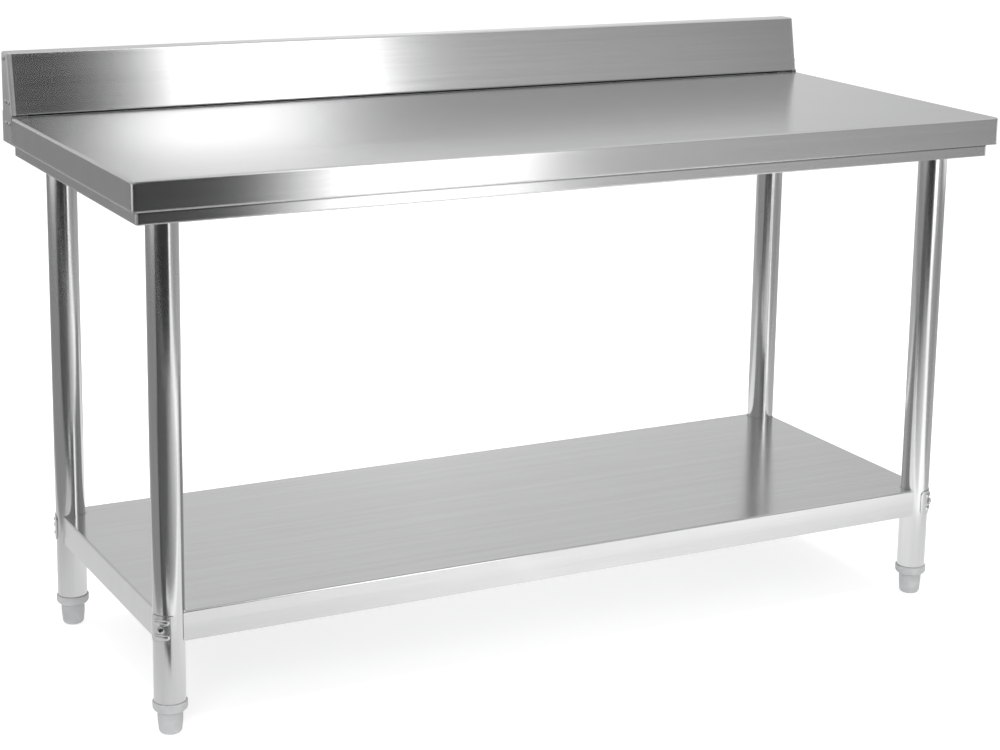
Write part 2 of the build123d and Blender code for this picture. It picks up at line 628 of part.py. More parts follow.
with BuildPart() as foot:
    with BuildSketch(Plane.XZ):
        with BuildLine():
            Line((0, 0), (12.0, 0))
            ThreePointArc((12.0, 0), (16.2, 2.9), (17.6, 7.5))
            Line((17.6, 7.5), (FOOT_RADIUS - 0.2, FLATS_TOP))
            Line((FOOT_RADIUS - 0.2, FLATS_TOP), (0, FLATS_TOP))
            Line((0, FLATS_TOP), (0, 0))
        make_face()
    revolve(axis=Axis.Z)
    with BuildSketch():
        RegularPolygon(FOOT_FLATS, 8, major_radius=False)
    extrude(amount=FLATS_TOP, mode=Mode.INTERSECT)
    with BuildSketch(Plane.XZ):
        with BuildLine():
            Line((0, FLATS_TOP), (FOOT_RADIUS - 0.2, FLATS_TOP))
            Line((FOOT_RADIUS - 0.2, FLATS_TOP), (FOOT_RADIUS, FOOT_TOP - 1.0))
            Line((FOOT_RADIUS, FOOT_TOP - 1.0), (FOOT_RADIUS - 1.0, FOOT_TOP))
            Line((FOOT_RADIUS - 1.0, FOOT_TOP), (0, FOOT_TOP))
            Line((0, FOOT_TOP), (0, FLATS_TOP))
        make_face()
    revolve(axis=Axis.Z)
    with BuildSketch(Plane.XY.offset(STEM_BASE)):
        Circle(STEM)
    extrude(amount=FOOT_TOP - STEM_BASE, mode=Mode.SUBTRACT)

for corner, place in zip(CORNERS, corner_places):
    write(leg.part.moved(place), f"leg_{corner}")
    write(saddle.part.moved(place), f"shelf_saddle_{corner}")
    write(clamp_plate.part.moved(place), f"clamp_plate_{corner}")
    write(foot_plug.part.moved(place), f"foot_plug_{corner}")
    write(foot_stem.part.moved(place), f"foot_stem_{corner}")
    write(foot.part.moved(place), f"foot_{corner}")
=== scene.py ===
"""Stainless work table: finishes, turned and pressed fittings, studio light and camera.

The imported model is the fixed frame. Lengths are metres, the front faces -Y and Z is up.
"""

from __future__ import annotations

import json
import logging
import math
from dataclasses import dataclass, field
from enum import Enum

import bpy
from mathutils import Matrix, Vector


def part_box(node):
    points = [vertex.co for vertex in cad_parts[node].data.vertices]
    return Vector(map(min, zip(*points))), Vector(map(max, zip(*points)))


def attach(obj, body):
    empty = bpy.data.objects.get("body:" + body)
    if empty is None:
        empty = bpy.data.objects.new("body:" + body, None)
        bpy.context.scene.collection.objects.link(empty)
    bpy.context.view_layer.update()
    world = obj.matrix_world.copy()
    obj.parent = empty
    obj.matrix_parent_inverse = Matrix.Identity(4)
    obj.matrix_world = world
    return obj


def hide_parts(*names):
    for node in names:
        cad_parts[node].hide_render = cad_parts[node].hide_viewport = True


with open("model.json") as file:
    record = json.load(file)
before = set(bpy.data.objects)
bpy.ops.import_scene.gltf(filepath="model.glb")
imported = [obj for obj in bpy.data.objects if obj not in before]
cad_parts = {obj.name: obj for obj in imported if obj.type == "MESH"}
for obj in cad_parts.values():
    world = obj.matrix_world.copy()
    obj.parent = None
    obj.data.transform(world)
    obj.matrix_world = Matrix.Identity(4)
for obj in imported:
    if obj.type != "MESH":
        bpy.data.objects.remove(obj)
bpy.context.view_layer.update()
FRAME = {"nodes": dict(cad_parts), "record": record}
MM = 0.001
CORNERS = ("front_left", "front_right", "rear_left", "rear_right")
ENDS = {"left": -1.0, "right": 1.0}
TABLE_BODY = "table"
# A face lies in a screw's recess, and takes the painted recess shade, from this depth on, as a share of the
# head's height.
RECESS_SHARE = 0.15
# A threaded end tapers to this share of the shank's radius.
TIP_SHARE = 0.8
# The corner seam lies this far behind the worktop's front face.
SEAM_INSET = 7.5 * MM

log = logging.getLogger("work_table")

Ring = list[Vector]
Socket = bpy.types.NodeSocket


# ---- Shader graphs -------------------------------------------------------------------------------


class Graph:
    """The nodes of one material or of the world, added and wired by short calls."""

    def __init__(self, tree: bpy.types.NodeTree) -> None:
        """Start from an empty node tree.

        Args:
            tree: The node tree to fill.
        """
        self.tree = tree
        tree.nodes.clear()

    def add(self, kind: str, settings: dict | None = None, **sockets: object) -> bpy.types.Node:
        """Add one node.

        Args:
            kind: The node's Blender type.
            settings: Values for the node's own options.
            **sockets: Input sockets by name, with _ for a space: a number, a tuple or an output to wire in.

        Returns:
            The new node.
        """
        node = self.tree.nodes.new(kind)
        for option, value in (settings or {}).items():
            setattr(node, option, value)
        for name, value in sockets.items():
            self.feed(node, name.replace("_", " "), value)
        return node

    def feed(self, node: bpy.types.Node, name: str | int, value: object) -> None:
        """Set an input, or wire an output into it.

        Args:
            node: The node that takes the value.
            name: The input's name or its number.
            value: A plain value or an output socket.
        """
        if isinstance(value, Socket):
            self.tree.links.new(value, node.inputs[name])
        else:
            node.inputs[name].default_value = value

    def math(self, operation: str, first: object, second: object = 0.0) -> Socket:
        """Return the output of a Math node on two values."""
        node = self.add("ShaderNodeMath", {"operation": operation})
        self.feed(node, 0, first)
        self.feed(node, 1, second)
        return node.outputs[0]

    def span(self, value: Socket, low: float, high: float) -> Socket:
        """Return a 0 to 1 value spread over low to high."""
        node = self.add("ShaderNodeMapRange", Value=value, To_Min=low, To_Max=high)
        return node.outputs[0]

    def scaled(self, vector: Socket, scale: object) -> Socket:
        """Return a vector multiplied by a scale, axis by axis."""
        node = self.add("ShaderNodeVectorMath", {"operation": "MULTIPLY"})
        self.feed(node, 0, vector)
        self.feed(node, 1, scale)
        return node.outputs[0]

    def pick(self, choice: Socket, no: tuple, yes: tuple) -> Socket:
        """Return one vector where the choice is 0 and the other where it is 1."""
        node = self.add("ShaderNodeMix", {"data_type": "VECTOR"})
        self.feed(node, 0, choice)
        self.feed(node, 4, no)
        self.feed(node, 5, yes)
        return node.outputs[1]

    def noise(self, vector: Socket, scale: float, detail: float) -> Socket:
        """Return a soft noise that spreads over about 0 to 1."""
        node = self.add("ShaderNodeTexNoise", Vector=vector, Scale=scale, Detail=detail, Roughness=0.55)
        return node.outputs["Fac"]


class Grain(Enum):
    """Which way the polishing lines run."""

    ALONG_LENGTH = (1.0, 0.0, 0.0)
    ALONG_DEPTH = (0.0, 1.0, 0.0)
    UPRIGHT = (0.0, 0.0, 1.0)


def line_scale(grain: Grain, length: float, width: float) -> tuple[float, float, float]:
    """Scale that stretches a noise into lines.

    Args:
        grain: The way the lines run.
        length: The lines' typical length.
        width: The lines' typical width.

    Returns:
        The scale along X, Y and Z.
    """
    x, y, z = (1.0 / length if along else 1.0 / width for along in grain.value)
    return x, y, z


@dataclass(frozen=True)
class SteelFinish:
    """Ground or polished stainless steel, with lines along one direction of the sheet.

    Seams are depths of welded corner seams on the folded-down ends. A shadow top is the height of
    an edge that the sheet stands behind. An edge radius rounds the sheet's edges in the shading.
    """

    name: str
    tint: tuple[float, float, float] = (0.67, 0.67, 0.675)
    roughness: float = 0.17
    spread: float = 0.025
    anisotropy: float = 0.6
    grain: Grain = Grain.ALONG_LENGTH
    end_grain: Grain = Grain.UPRIGHT
    line_length: float = 0.12
    line_width: float = 0.0009
    line_depth: float = 0.0000025
    line_share: float = 0.45
    broad_share: float = 0.3
    cloud_share: float = 0.25
    broad_length: float = 8.0
    broad_width: float = 9.0
    cloud_size: float = 0.35
    darkest: float = 0.92
    lightest: float = 1.07
    shade_from: float = 0.28
    shade_to: float = 0.72
    seams: tuple[float, ...] = ()
    seam_width: float = 0.0007
    seam_tone: float = 0.16
    seam_depth: float = 6.0
    shadow_top: float | None = None
    shadow_drop: float = 0.0058
    shadow_tone: float = 0.05
    shadow_strength: float = 0.85
    top_extra: float = 0.0
    edge_radius: float = 0.0
    edge_samples: int = 6
    end_facing: float = 0.7
    top_facing: float = 0.9

    def material(self) -> bpy.types.Material:
        """Make the material, with lines that turn where the sheet folds down at its ends.

        Returns:
            The finished material.
        """
        made = bpy.data.materials.new(self.name)
        made.use_nodes = True
        g = Graph(made.node_tree)
        place = g.add("ShaderNodeTexCoord").outputs["Object"]
        facing = g.add("ShaderNodeSeparateXYZ", Vector=g.add("ShaderNodeNewGeometry").outputs["Normal"])
        at_end = g.math("GREATER_THAN", g.math("ABSOLUTE", facing.outputs["X"]), self.end_facing)
        upward = g.math("GREATER_THAN", facing.outputs["Z"], self.top_facing)
        lines = g.noise(g.scaled(place, self.stretch(g, at_end, 1.0, 1.0)), 1.0, 3.0)
        wear = self.wear(g, place, at_end, lines)
        colour, height = self.shade(g, wear), lines
        if self.seams:
            seam = self.seam_mask(g, place, at_end)
            colour = self.darkened(g, seam, colour, self.seam_tone)
            height = g.math("SUBTRACT", lines, g.math("MULTIPLY", seam, self.seam_depth))
        if self.shadow_top is not None:
            colour = self.darkened(g, self.shadow_mask(g, place), colour, self.shadow_tone)
        bump = g.add("ShaderNodeBump", Strength=0.5, Distance=self.line_depth, Height=height)
        if self.edge_radius > 0.0:
            rounded = g.add("ShaderNodeBevel", {"samples": self.edge_samples}, Radius=self.edge_radius)
            g.feed(bump, "Normal", rounded.outputs["Normal"])
        rough = g.span(wear, self.roughness - self.spread, self.roughness + self.spread)
        shader = g.add(
            "ShaderNodeBsdfPrincipled",
            Base_Color=colour,
            Metallic=1.0,
            Roughness=g.math("ADD", rough, g.math("MULTIPLY", upward, self.top_extra)),
            Anisotropic=self.anisotropy,
            Anisotropic_Rotation=0.25,
            Normal=bump.outputs["Normal"],
            Tangent=g.pick(at_end, self.grain.value, self.end_grain.value),
        )
        g.add("ShaderNodeOutputMaterial", Surface=shader.outputs["BSDF"])
        return made

    def stretch(self, g: Graph, at_end: Socket, longer: float, wider: float) -> Socket:
        """Scale that stretches a noise along the polishing lines.

        Args:
            g: The material's graph.
            at_end: 1 on faces that look along X.
            longer: How many times longer than a line.
            wider: How many times wider than a line.

        Returns:
            The scale, turned on the sheet's ends.
        """
        length, width = self.line_length * longer, self.line_width * wider
        on_top = line_scale(self.grain, length, width)
        on_ends = line_scale(self.end_grain, length, width)
        return g.pick(at_end, on_top, on_ends)

    def wear(self, g: Graph, place: Socket, at_end: Socket, lines: Socket) -> Socket:
        """Mix fine lines, broad lines and clouds.

        Args:
            g: The material's graph.
            place: The surface point.
            at_end: 1 on faces that look along X.
            lines: The fine lines.

        Returns:
            An output from about 0 to 1.
        """
        scale = self.stretch(g, at_end, self.broad_length, self.broad_width)
        broad = g.noise(g.scaled(place, scale), 1.0, 2.0)
        clouds = g.noise(place, 1.0 / self.cloud_size, 2.0)
        fine = g.math("MULTIPLY", lines, self.line_share)
        wide = g.math("MULTIPLY", broad, self.broad_share)
        soft = g.math("MULTIPLY", clouds, self.cloud_share)
        return g.math("ADD", g.math("ADD", fine, wide), soft)

    def shade(self, g: Graph, wear: Socket) -> Socket:
        """Return the steel's tint, varied by the wear."""
        ramp = g.add("ShaderNodeValToRGB", Fac=wear)
        dark, light = ramp.color_ramp.elements
        dark.position, light.position = self.shade_from, self.shade_to
        dark.color = (*[c * self.darkest for c in self.tint], 1.0)
        light.color = (*[min(1.0, c * self.lightest) for c in self.tint], 1.0)
        return ramp.outputs["Color"]

    def darkened(self, g: Graph, mask: Socket, colour: Socket, tone: float) -> Socket:
        """Return the colour with a dark tone where the mask is 1."""
        mixed = g.add("ShaderNodeMix", {"data_type": "RGBA"})
        g.feed(mixed, 0, mask)
        g.feed(mixed, 6, colour)
        g.feed(mixed, 7, (tone, tone, tone, 1.0))
        return mixed.outputs[2]

    def shadow_mask(self, g: Graph, place: Socket) -> Socket:
        """Mark the band just below the edge that the sheet stands behind.

        Args:
            g: The material's graph.
            place: The surface point.

        Returns:
            An output that fades out below the edge.
        """
        level = g.add("ShaderNodeSeparateXYZ", Vector=place).outputs["Z"]
        band = g.add("ShaderNodeMapRange", Value=level, To_Min=0.0, To_Max=self.shadow_strength)
        g.feed(band, "From Min", self.shadow_top - self.shadow_drop)
        g.feed(band, "From Max", self.shadow_top - self.shadow_drop / 2)
        return band.outputs[0]

    def seam_mask(self, g: Graph, place: Socket, at_end: Socket) -> Socket:
        """Mark the welded corner seams on the folded-down ends.

        Args:
            g: The material's graph.
            place: The surface point.
            at_end: 1 on faces that look along X.

        Returns:
            An output that is 1 on a seam.
        """
        depth = g.add("ShaderNodeSeparateXYZ", Vector=place).outputs["Y"]
        mask: Socket | float = 0.0
        for seam in self.seams:
            away = g.math("ABSOLUTE", g.math("SUBTRACT", depth, seam))
            mask = g.math("MAXIMUM", mask, g.math("LESS_THAN", away, self.seam_width / 2))
        return g.math("MULTIPLY", mask, at_end)


@dataclass(frozen=True)
class PlasticFinish:
    """Moulded grey plastic with a fine grain."""

    name: str = "moulded_grey_plastic"
    tint: tuple[float, float, float] = (0.44, 0.445, 0.45)
    roughness: float = 0.42
    grain_size: float = 0.0012
    grain_depth: float = 0.00004
    smear_size: float = 0.025
    darkest: float = 0.86
    lightest: float = 1.10

    def material(self) -> bpy.types.Material:
        """Make the material: fine moulded grain with a soft change of shade over it.

        Returns:
            The finished material.
        """
        made = bpy.data.materials.new(self.name)
        made.use_nodes = True
        g = Graph(made.node_tree)
        place = g.add("ShaderNodeTexCoord").outputs["Object"]
        grain = g.noise(place, 1.0 / self.grain_size, 3.0)
        smear = g.noise(place, 1.0 / self.smear_size, 2.0)
        mixed = g.math("ADD", g.math("MULTIPLY", grain, 0.4), g.math("MULTIPLY", smear, 0.6))
        shade = g.add("ShaderNodeValToRGB", Fac=mixed)
        dark, light = shade.color_ramp.elements
        dark.position, light.position = 0.3, 0.7
        dark.color = (*[c * self.darkest for c in self.tint], 1.0)
        light.color = (*[c * self.lightest for c in self.tint], 1.0)
        bump = g.add("ShaderNodeBump", Strength=0.6, Distance=self.grain_depth, Height=grain)
        shader = g.add(
            "ShaderNodeBsdfPrincipled",
            Base_Color=shade.outputs["Color"],
            Roughness=g.span(smear, self.roughness - 0.06, self.roughness + 0.08),
            Normal=bump.outputs["Normal"],
        )
        g.add("ShaderNodeOutputMaterial", Surface=shader.outputs["BSDF"])
        return made


@dataclass
class Finishes:
    """Every finish on the table, by the record's slot and for the few nodes that differ."""

    seams: tuple[float, ...]
    apron_bottom: float
    made: dict[str, bpy.types.Material] = field(default_factory=dict)

    def build(self) -> None:
        """Make all materials."""
        steel = {
            "brushed_sheet": SteelFinish("brushed_sheet"),
            "worktop_sheet": SteelFinish(
                "worktop_sheet", seams=self.seams, top_extra=0.03, edge_radius=0.004,
            ),
            "rim_sheet": SteelFinish(
                "rim_sheet", end_grain=Grain.ALONG_DEPTH, shadow_top=self.apron_bottom, edge_radius=0.003,
            ),
            "cap_sheet": SteelFinish("cap_sheet", roughness=0.30, anisotropy=0.4),
            "leg_tube": SteelFinish(
                "leg_tube", roughness=0.17, spread=0.03, anisotropy=0.35, grain=Grain.UPRIGHT,
                line_length=0.09, line_width=0.0011, line_depth=0.0000012,
            ),
            "clamp_sheet": SteelFinish(
                "clamp_sheet", tint=(0.66, 0.66, 0.665), roughness=0.20, anisotropy=0.2, line_length=0.012,
            ),
            "plain_steel": SteelFinish(
                "plain_steel", tint=(0.52, 0.52, 0.53), roughness=0.40, anisotropy=0.3,
            ),
            "fastener_steel": SteelFinish(
                "fastener_steel", tint=(0.62, 0.62, 0.63), roughness=0.13, anisotropy=0.0,
                line_length=0.002, line_width=0.0006, line_depth=0.00001,
            ),
            # Painted shade: a near-black steel for the faces inside the screws' cross recesses, where shade
            # falls.
            "recess_painted_shade": SteelFinish(
                "recess_painted_shade", tint=(0.07, 0.07, 0.072), roughness=0.5, anisotropy=0.0,
            ),
        }
        for name, finish in steel.items():
            self.made[name] = finish.material()
        self.made["foot_plastic"] = PlasticFinish().material()

    def name_for(self, node: str, slot: str) -> str:
        """Return the name of the finish that a node takes."""
        if node == "worktop_pan":
            return "worktop_sheet"
        if node.startswith("splash_cap"):
            return "cap_sheet"
        return slot

    def dress_nodes(self) -> None:
        """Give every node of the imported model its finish."""
        slots = {row["node"]: row["material_slot"] for row in FRAME["record"]["subparts"]}
        for node, piece in FRAME["nodes"].items():
            finish = self.name_for(node, slots[node])
            if not piece.material_slots:
                piece.data.materials.append(None)
            for held in piece.material_slots:
                held.material = self.made[finish]
            log.info("%s takes the finish %s", node, finish)


# ---- Mesh making ---------------------------------------------------------------------------------


def skin(rings: list[Ring]) -> tuple[list[Vector], list[tuple[int, ...]]]:
    """Skin a stack of rings and close both ends.

    Args:
        rings: Rings of points, all with the same count, in order along the piece.

    Returns:
        The points and the faces.
    """
    count = len(rings[0])
    points = [p for ring in rings for p in ring]
    faces: list[tuple[int, ...]] = []
    for level in range(len(rings) - 1):
        low, high = level * count, (level + 1) * count
        for i in range(count):
            j = (i + 1) % count
            faces.append((low + i, low + j, high + j, high + i))
    faces.append(tuple(reversed(range(count))))
    faces.append(tuple(range(len(points) - count, len(points))))
    return points, faces


def make_piece(
    name: str, points: list[Vector], faces: list[tuple[int, ...]], place: Matrix, finish: bpy.types.Material,
    sharp: float = 35.0,
) -> bpy.types.Object:
    """Turn points and faces into a smooth-shaded object.

    Args:
        name: The object's name.
        points: Points in the piece's own frame.
        faces: Faces as point numbers.
        place: Where the piece stands in the table's frame.
        finish: The piece's material.
        sharp: Angle in degrees above which an edge stays crisp.

    Returns:
        The new object, linked to the scene.
    """
    mesh = bpy.data.meshes.new(name)
    mesh.from_pydata([place @ p for p in points], [], faces)
    mesh.validate()
    mesh.shade_smooth()
    mesh.set_sharp_from_angle(angle=math.radians(sharp))
    mesh.materials.append(finish)
    piece = bpy.data.objects.new(name, mesh)
    bpy.context.scene.collection.objects.link(piece)
    return piece


def turned(outline: list[tuple[float, float]], segments: int) -> list[Ring]:
    """Rings of a turned piece.

    Args:
        outline: Radius and height pairs, from one end to the other.
        segments: Points round the piece.

    Returns:
        One ring for each pair.
    """
    turns = [2 * math.pi * i / segments for i in range(segments)]
    return [[Vector((r * math.cos(t), r * math.sin(t), z)) for t in turns] for r, z in outline]


def smooth_step(value: float, low: float, high: float) -> float:
    """Return 0 below low, 1 above high and an even ease between them."""
    share = min(1.0, max(0.0, (value - low) / (high - low)))
    return share * share * (3 - 2 * share)


@dataclass(frozen=True)
class Thread:
    """A rolled V thread on a rod."""

    radius: float
    pitch: float
    depth: float

    def rings(self, start: float, end: float, segments: int = 28, steps: int = 6) -> list[Ring]:
        """Rings of a threaded rod whose thread runs out at both ends.

        Args:
            start: Height of the lower end.
            end: Height of the upper end.
            segments: Points round the rod.
            steps: Rings for each turn of the thread.

        Returns:
            The rings from start to end.
        """
        count = max(2, round((end - start) / self.pitch * steps))
        made = []
        for n in range(count + 1):
            z = start + (end - start) * n / count
            full = min(smooth_step(z, start, start + self.pitch), 1 - smooth_step(z, end - self.pitch, end))
            ring = []
            for i in range(segments):
                turn = i / segments
                phase = (z / self.pitch - turn) % 1.0
                crest = 1 - abs(2 * phase - 1)
                r = self.radius - self.depth * (1 - min(1.0, crest * 1.25) * full)
                ring.append(Vector((r * math.cos(2 * math.pi * turn), r * math.sin(2 * math.pi * turn), z)))
            made.append(ring)
        return made


@dataclass(frozen=True)
class CrossHead:
    """Domed screw head with a cross recess, its seat at height 0 and the head above it."""

    radius: float
    rim: float
    height: float
    recess: float
    arm: float

    def depth_at(self, x: float, y: float) -> float:
        """Depth of the cross recess below the dome at one point."""
        reach, aside = max(abs(x), abs(y)), min(abs(x), abs(y))
        width = self.arm * (0.62 - 0.30 * reach / (self.recess / 2))
        inside = (1 - smooth_step(aside, width * 0.8, width * 1.15)) * (
            1 - smooth_step(reach, self.recess * 0.40, self.recess * 0.5)
        )
        return inside * self.height * 0.62 * (1 - 0.45 * reach / (self.recess / 2))

    def rings(self, shank: float, segments: int = 96, steps: int = 30) -> list[Ring]:
        """Rings from the shank, over the seat and rim, to the middle of the dome.

        Args:
            shank: The shank's radius, where the head's seat starts.
            segments: Points round the head.
            steps: Rings over the dome.

        Returns:
            The rings in order.
        """
        made = turned([(shank, 0.0), (self.radius * 0.97, 0.0), (self.radius, self.rim * 0.2)], segments)
        made += turned([(self.radius, self.rim * 0.8)], segments)
        for n in range(steps):
            r = self.radius * (1 - n / steps) * 0.995
            z = self.rim + (self.height - self.rim) * math.sqrt(max(0.0, 1 - (r / self.radius) ** 2))
            ring = []
            for i in range(segments):
                turn = 2 * math.pi * i / segments
                x, y = r * math.cos(turn), r * math.sin(turn)
                ring.append(Vector((x, y, z - self.depth_at(x, y))))
            made.append(ring)
        return made


def paint_recess_shade(
    piece: bpy.types.Object, head: CrossHead, points: list[Vector], finish: bpy.types.Material,
) -> None:
    """Paint shade into a screw's cross recess by giving the faces inside it a near-black finish.

    Args:
        piece: The finished screw.
        head: The head's sizes.
        points: The screw's points in its own frame, in the mesh's order.
        finish: The painted-shade finish for the recess.
    """
    piece.data.materials.append(finish)
    for face in piece.data.polygons:
        middle = sum((points[i] for i in face.vertices), Vector()) / len(face.vertices)
        if middle.z > 0 and head.depth_at(middle.x, middle.y) > head.height * RECESS_SHARE:
            # This face lies deep in the recess and takes the painted shade.
            face.material_index = 1


# ---- Sub-assemblies ------------------------------------------------------------------------------


@dataclass
class CornerPost:
    """What belongs to one leg: its place, the shelf clamp on it and the levelling foot under it."""

    corner: str
    finishes: Finishes
    clamp_level: float = 169 * MM
    clamp_height: float = 42 * MM
    clamp_corner: float = 8 * MM
    clamp_inside: float = 24.15 * MM
    clamp_sheet: float = 1.5 * MM
    clamp_half_angle: float = 54.0
    rib_length: float = 25 * MM
    rib_height: float = 8 * MM
    rib_proud: float = 1.8 * MM
    rib_offset: float = 11.5 * MM
    bolt_radius: float = 3 * MM
    bolt_end: float = 33.1 * MM
    foot_top: float = 35.2 * MM
    foot_radius: float = 19 * MM
    foot_flats: float = 17.8 * MM
    flats_top: float = 20 * MM
    foot_edge: float = 1.2 * MM
    foot_base: float = 12 * MM
    foot_low_radius: float = 17.6 * MM
    foot_low: float = 7.5 * MM
    foot_full: float = 22 * MM
    stem_radius: float = 5 * MM
    stem_play: float = 0.05 * MM
    stem_hole_end: float = 26 * MM
    hole_edge: float = 0.4 * MM
    foot_middle: float = 1 * MM

    def __post_init__(self) -> None:
        """Find the leg's centre line and the way out through the table's corner."""
        low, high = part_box(f"leg_{self.corner}")
        middle = (low + high) / 2
        self.centre = Vector((middle.x, middle.y, 0.0))
        self.outward = math.atan2(math.copysign(1.0, middle.y), math.copysign(1.0, middle.x))

    @property
    def body(self) -> str:
        """Name of the body that the levelling foot rides on."""
        return f"leveller_{self.corner}"

    def build(self) -> None:
        """Build all pieces of this corner."""
        self.build_clamp_plate()
        self.build_clamp_bolt()
        self.build_stem()
        self.build_foot()

    def finish_piece(self, piece: bpy.types.Object, body: str, node: str) -> None:
        """Put a piece on its body in place of a node.

        Args:
            piece: The new object.
            body: The body it rides on.
            node: The node that it stands for.
        """
        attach(piece, body)
        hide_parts(node)
        log.info("%s rides on %s in place of %s", piece.name, body, node)

    def rib_rise(self, across: float, height: float) -> float:
        """Height of the two pressed ribs above the plate at one point."""
        rise = 0.0
        for side in (-1, 1):
            beyond = max(0.0, abs(across) - (self.rib_length - self.rib_height) / 2)
            away = math.hypot(beyond, height - side * self.rib_offset)
            rise += self.rib_proud * (1 - smooth_step(away, self.rib_height * 0.18, self.rib_height * 0.56))
        return rise

    def build_clamp_plate(self, rows: int = 96, columns: int = 96) -> None:
        """Build the curved plate with rounded corners and two pressed ribs.

        Args:
            rows: Strips over the plate's height.
            columns: Strips round the plate.
        """
        half = self.clamp_height / 2
        outer, inner = [], []
        middle_radius = self.clamp_inside + self.clamp_sheet
        half_width = middle_radius * math.radians(self.clamp_half_angle)
        for row in range(rows + 1):
            z = -half * math.cos(math.pi * row / rows)
            edge = half - abs(z)
            short = 0.0
            if edge < self.clamp_corner:
                short = self.clamp_corner - math.sqrt(self.clamp_corner**2 - (self.clamp_corner - edge) ** 2)
            width = half_width - short
            for column in range(columns + 1):
                across = width * (2 * column / columns - 1)
                turn = across / middle_radius
                rise = self.rib_rise(across, z)
                for skin_points, radius in ((outer, middle_radius + rise), (inner, self.clamp_inside + rise)):
                    skin_points.append(Vector((radius * math.cos(turn), radius * math.sin(turn), z)))
        faces = []
        wide, total = columns + 1, len(outer)
        for row in range(rows):
            for column in range(columns):
                a = row * wide + column
                faces.append((a, a + 1, a + wide + 1, a + wide))
                faces.append((total + a, total + a + wide, total + a + wide + 1, total + a + 1))
        border = list(range(wide)) + [r * wide + columns for r in range(1, rows + 1)]
        border += [rows * wide + c for c in range(columns - 1, -1, -1)]
        border += [r * wide for r in range(rows - 1, 0, -1)]
        for a, b in zip(border, border[1:] + border[:1]):
            faces.append((b, a, total + a, total + b))
        place = Matrix.Translation(self.centre + Vector((0, 0, self.clamp_level))) @ Matrix.Rotation(
            self.outward, 4, "Z"
        )
        finish = self.finishes.made["clamp_sheet"]
        piece = make_piece(f"pressed_clamp_{self.corner}", outer + inner, faces, place, finish, sharp=75.0)
        edge_round = piece.modifiers.new("rounded_edge", "BEVEL")
        edge_round.width = self.clamp_sheet * 0.25
        edge_round.segments = 2
        edge_round.limit_method = "ANGLE"
        edge_round.angle_limit = math.radians(50)
        self.finish_piece(piece, TABLE_BODY, f"clamp_plate_{self.corner}")

    def build_clamp_bolt(self) -> None:
        """Build the clamp's bolt: threaded shank and a domed head with a cross recess."""
        seat = self.clamp_inside + self.clamp_sheet
        head = CrossHead(radius=5.8 * MM, rim=1.5 * MM, height=3.9 * MM, recess=6.6 * MM, arm=2.0 * MM)
        segments = 96
        thread = Thread(self.bolt_radius, pitch=1.0 * MM, depth=0.5 * MM)
        rings = turned([(self.bolt_radius * TIP_SHARE, -self.bolt_end - seat)], segments)
        rings += thread.rings(-self.bolt_end - seat, -seat, segments, 5)
        rings += turned([(self.bolt_radius, -seat + 0.1 * MM)], segments)
        rings += head.rings(self.bolt_radius, segments)
        points, faces = skin(rings)
        turn = Matrix.Rotation(self.outward, 4, "Z") @ Matrix.Rotation(math.pi / 2, 4, "Y")
        out = Vector((math.cos(self.outward), math.sin(self.outward), 0.0))
        place = Matrix.Translation(self.centre + out * seat + Vector((0, 0, self.clamp_level))) @ turn
        name = f"cross_head_bolt_{self.corner}"
        piece = make_piece(name, points, faces, place, self.finishes.made["fastener_steel"])
        # The cross recess takes a painted shade.
        paint_recess_shade(piece, head, points, self.finishes.made["recess_painted_shade"])
        self.finish_piece(piece, TABLE_BODY, "clamp_bolts")

    def build_stem(self) -> None:
        """Build the foot's threaded stem."""
        low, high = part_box(f"foot_stem_{self.corner}")
        thread = Thread(self.stem_radius, 1.5 * MM, 0.85 * MM)
        tip = self.stem_radius - thread.depth
        rings = turned([(tip * 0.9, low.z)], 28) + thread.rings(low.z + 0.2 * MM, high.z - 0.6 * MM)
        rings += turned([(tip * 0.85, high.z)], 28)
        points, faces = skin(rings)
        place = Matrix.Translation(self.centre)
        name = f"threaded_stem_{self.corner}"
        piece = make_piece(name, points, faces, place, self.finishes.made["fastener_steel"])
        self.finish_piece(piece, self.body, f"foot_stem_{self.corner}")

    def foot_outline(self) -> list[tuple[float, float]]:
        """Radius and height of the foot, from the middle of its underside up and into the stem's hole.

        Returns:
            The outline's pairs.
        """
        outline = [(self.foot_middle, 0.0), (self.foot_base * 0.6, 0.0)]
        for n in range(13):
            turn = math.pi / 2 * n / 12
            radius = self.foot_base + (self.foot_low_radius - self.foot_base) * math.sin(turn)
            outline.append((radius, self.foot_low * (1 - math.cos(turn))))
        steps = 16
        for n in range(1, steps + 1):
            z = self.foot_low + (self.foot_top - self.foot_edge - self.foot_low) * n / steps
            flare = (self.foot_radius - self.foot_low_radius) * smooth_step(z, self.foot_low, self.foot_full)
            outline.append((self.foot_low_radius + flare, z))
        for n in range(1, 6):
            turn = math.pi / 2 * n / 5
            radius = self.foot_radius - self.foot_edge * (1 - math.cos(turn))
            outline.append((radius, self.foot_top - self.foot_edge * (1 - math.sin(turn))))
        hole = self.stem_radius + self.stem_play
        outline.append((hole + self.hole_edge, self.foot_top))
        outline.append((hole, self.foot_top - self.hole_edge))
        outline.append((hole, self.stem_hole_end))
        outline.append((self.foot_middle, self.stem_hole_end))
        return outline

